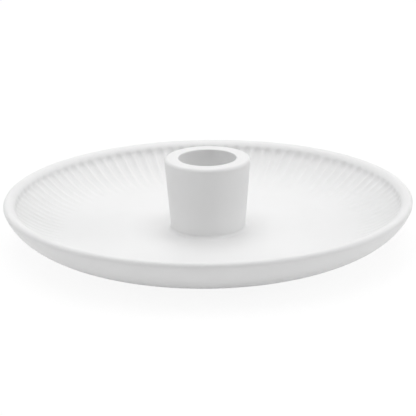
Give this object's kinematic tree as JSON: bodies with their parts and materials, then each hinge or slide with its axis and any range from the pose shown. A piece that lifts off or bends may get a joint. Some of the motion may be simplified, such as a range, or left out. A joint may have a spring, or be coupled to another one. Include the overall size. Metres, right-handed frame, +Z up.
{
  "type": "candle plate",
  "caption": "Round shallow ceramic candle plate with a fluted border under a rounded lip and a tapered central cup that holds a dinner candle.",
  "frame": {"origin": "on the table, under the centre of the dish, at the underside of the pads", "axes": "+Z up along the axis of the dish and the candle bore; X and Y are alike, because the plate is round"},
  "size_m": [0.16, 0.16, 0.035],
  "materials": {
    "white_ceramic": "satin matte white, fine smooth fired surface",
    "pad_silicone": "soft translucent silicone"
  },
  "bodies": {
    "root": {"plate": "white_ceramic", "candle_cup": "white_ceramic", "slip_joint": "white_ceramic", "foot_pad_1": "pad_silicone", "foot_pad_2": "pad_silicone", "foot_pad_3": "pad_silicone", "foot_pad_4": "pad_silicone"}
  },
  "joints": []
}
